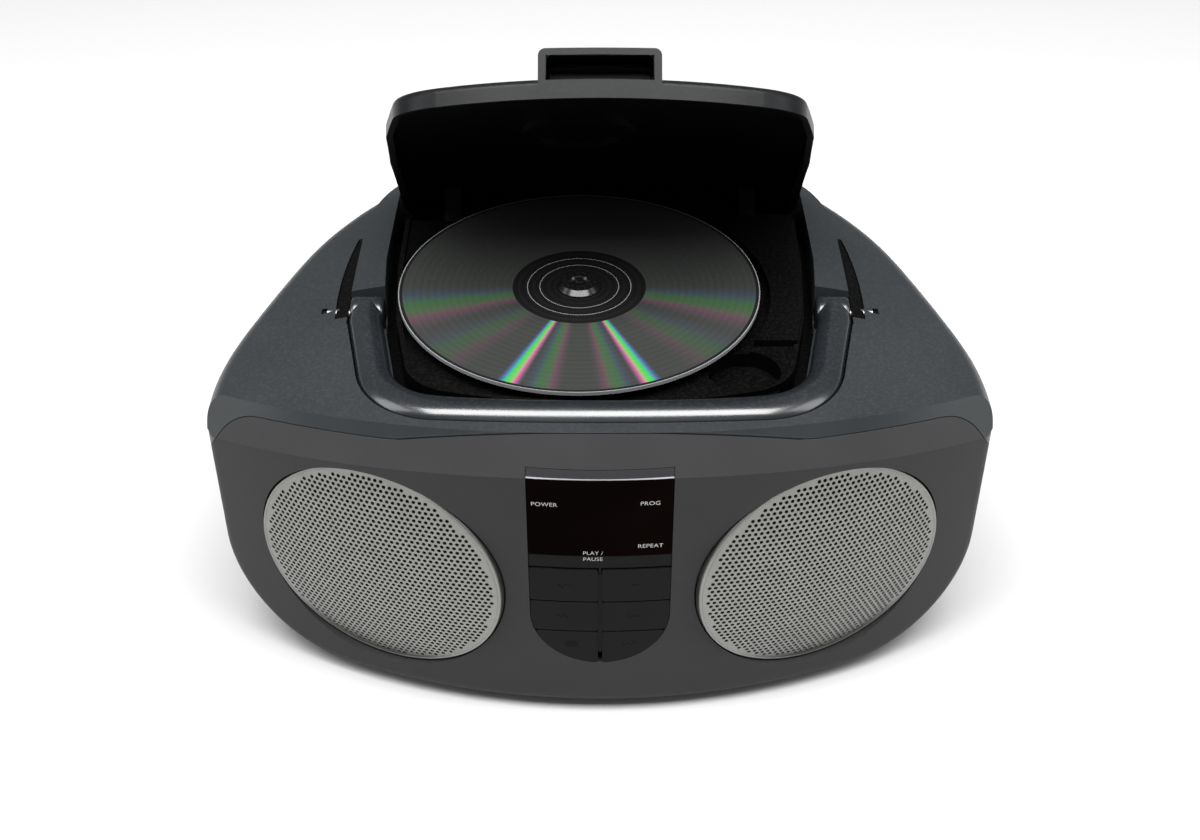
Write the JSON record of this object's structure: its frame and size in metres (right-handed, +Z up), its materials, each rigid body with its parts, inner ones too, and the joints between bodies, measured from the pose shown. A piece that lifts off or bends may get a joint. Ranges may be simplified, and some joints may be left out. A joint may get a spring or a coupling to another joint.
{
  "type": "cd boombox",
  "caption": "Portable boombox with crowned top, domed speaker grilles, U-shaped control panel, folding handle and a hinged lid standing open over the disc well.",
  "frame": {"origin": "on the ground under the middle of the body, at the underside of the feet", "axes": "+X to the right of a viewer facing the front, +Y from the front to the rear, +Z up"},
  "size_m": [0.252, 0.1879, 0.2081],
  "materials": {
    "housing_grey": "satin dark teal grey",
    "shell_grey": "satin dark grey",
    "grille_silver": "perforated silver sheet",
    "lens_black": "glossy near black window",
    "key_plastic": "satin black",
    "handle_grey": "semi-gloss dark grey",
    "well_black": "fine matt black",
    "steel_pin": "turned",
    "disc_silver": "polished with rainbow sheen",
    "hub_black": "gloss",
    "paper_cone": "pressed paper",
    "driver_steel": "plated",
    "board_green": "solder mask",
    "core_iron": "laminated",
    "contact_brass": "plated",
    "foot_rubber": "matt",
    "antenna_chrome": "polished",
    "lens_glass": "coated"
  },
  "bodies": {
    "body": {"top_housing": "housing_grey", "front_panel": "shell_grey", "rear_cabinet": "shell_grey", "disc_well": "well_black", "left_grille": "grille_silver", "right_grille": "grille_silver", "left_driver": "driver_steel", "right_driver": "driver_steel", "left_cone": "paper_cone", "right_cone": "paper_cone", "display_lens": "lens_black", "control_frame": "key_plastic", "display_module": "board_green", "key_board": "board_green", "main_board": "board_green", "transformer": "core_iron", "mains_inlet": "hub_black", "headphone_jack": "hub_black", "battery_contacts": "contact_brass", "battery_springs": "contact_brass", "feet": "foot_rubber", "case_screws": "steel_pin", "volume_pot": "driver_steel", "tuning_capacitor": "driver_steel", "handle_pins": "driver_steel", "hinge_pins": "steel_pin", "spindle_motor": "driver_steel", "mechanism_chassis": "driver_steel", "guide_rods": "steel_pin", "feed_motor": "driver_steel", "rubber_mounts": "foot_rubber"},
    "lid": {"lid_shell": "housing_grey", "lid_liner": "well_black"},
    "handle": {"handle": "handle_grey"},
    "volume_wheel": {"volume_wheel": "key_plastic"},
    "tuning_wheel": {"tuning_wheel": "key_plastic"},
    "function_switch": {"function_switch": "key_plastic"},
    "band_switch": {"band_switch": "key_plastic"},
    "disc_rotor": {"disc": "disc_silver", "spindle_hub": "hub_black"},
    "sled": {"pickup_sled": "hub_black", "pickup_lens": "lens_glass"},
    "feed_screw": {"feed_screw": "steel_pin"},
    "battery_door": {"battery_door": "shell_grey"},
    "antenna_base": {"antenna_knuckle": "hub_black", "antenna_mast": "antenna_chrome"},
    "antenna_middle": {"antenna_middle": "antenna_chrome"},
    "antenna_tip": {"antenna_tip": "antenna_chrome"},
    "play_button": {"play_button": "key_plastic"},
    "stop_button": {"stop_button": "key_plastic"},
    "skip_button": {"skip_button": "key_plastic"},
    "search_button": {"search_button": "key_plastic"},
    "program_button": {"program_button": "key_plastic"},
    "bass_button": {"bass_button": "key_plastic"}
  },
  "joints": [
    {"name": "lid_hinge", "type": "hinge", "parent": "body", "child": "lid", "pos_m": [0, 0.0525, 0.1028], "axis": [1, 0, 0], "range_deg": [0, 42.8]},
    {"name": "handle_swing", "type": "hinge", "parent": "body", "child": "handle", "pos_m": [0, -0.0135, 0.111], "axis": [-1, 0, 0], "range_deg": [0, 80]},
    {"name": "play_button_press", "type": "slide", "parent": "body", "child": "play_button", "axis": [0, 0.9976, 0.0698], "range_m": [0, 0.001], "stiffness_N_per_m": 1200},
    {"name": "stop_button_press", "type": "slide", "parent": "body", "child": "stop_button", "axis": [0, 0.9976, 0.0698], "range_m": [0, 0.001], "stiffness_N_per_m": 1200},
    {"name": "skip_button_press", "type": "slide", "parent": "body", "child": "skip_button", "axis": [0, 0.9976, 0.0698], "range_m": [0, 0.001], "stiffness_N_per_m": 1200},
    {"name": "search_button_press", "type": "slide", "parent": "body", "child": "search_button", "axis": [0, 0.9976, 0.0698], "range_m": [0, 0.001], "stiffness_N_per_m": 1200},
    {"name": "program_button_press", "type": "slide", "parent": "body", "child": "program_button", "axis": [0, 0.9976, 0.0698], "range_m": [0, 0.001], "stiffness_N_per_m": 1200},
    {"name": "bass_button_press", "type": "slide", "parent": "body", "child": "bass_button", "axis": [0, 0.9976, 0.0698], "range_m": [0, 0.001], "stiffness_N_per_m": 1200},
    {"name": "volume_turn", "type": "hinge", "parent": "body", "child": "volume_wheel", "pos_m": [-0.112, -0.02, 0.075], "axis": [0, 0, 1], "range_deg": [0, 270]},
    {"name": "tuning_turn", "type": "hinge", "parent": "body", "child": "tuning_wheel", "pos_m": [0.112, -0.02, 0.075], "axis": [0, 0, 1], "range_deg": [0, 270]},
    {"name": "function_slide", "type": "slide", "parent": "body", "child": "function_switch", "axis": [0, 0, 1], "range_m": [-0.003, 0.003]},
    {"name": "band_slide", "type": "slide", "parent": "body", "child": "band_switch", "axis": [0, 0, 1], "range_m": [-0.003, 0.003]},
    {"name": "disc_spin", "type": "hinge", "parent": "body", "child": "disc_rotor", "pos_m": [-0.0069, -0.0055, 0.117], "axis": [0, 0, 1], "continuous": true},
    {"name": "sled_travel", "type": "slide", "parent": "body", "child": "sled", "axis": [0, -1, 0], "range_m": [0, 0.0245]},
    {"name": "feed_spin", "type": "hinge", "parent": "body", "child": "feed_screw", "pos_m": [0.02, -0.0335, 0.103], "axis": [0, -1, 0], "range_deg": [0, 2940]},
    {"name": "battery_door_hinge", "type": "hinge", "parent": "body", "child": "battery_door", "pos_m": [0, 0.0874, 0.01015], "axis": [-1, 0, 0], "range_deg": [0, 88]},
    {"name": "antenna_tilt", "type": "hinge", "parent": "body", "child": "antenna_base", "pos_m": [0.052, 0.088, 0.099], "axis": [0, 1, 0], "range_deg": [0, 90]},
    {"name": "antenna_middle_slide", "type": "slide", "parent": "antenna_base", "child": "antenna_middle", "axis": [-1, 0, 0], "range_m": [0, 0.08]},
    {"name": "antenna_tip_slide", "type": "slide", "parent": "antenna_middle", "child": "antenna_tip", "axis": [-1, 0, 0], "range_m": [0, 0.08]}
  ],
  "couplings": [
    {"joint": "feed_spin", "follows": "sled_travel", "rad_per_m": 2094.4}
  ]
}
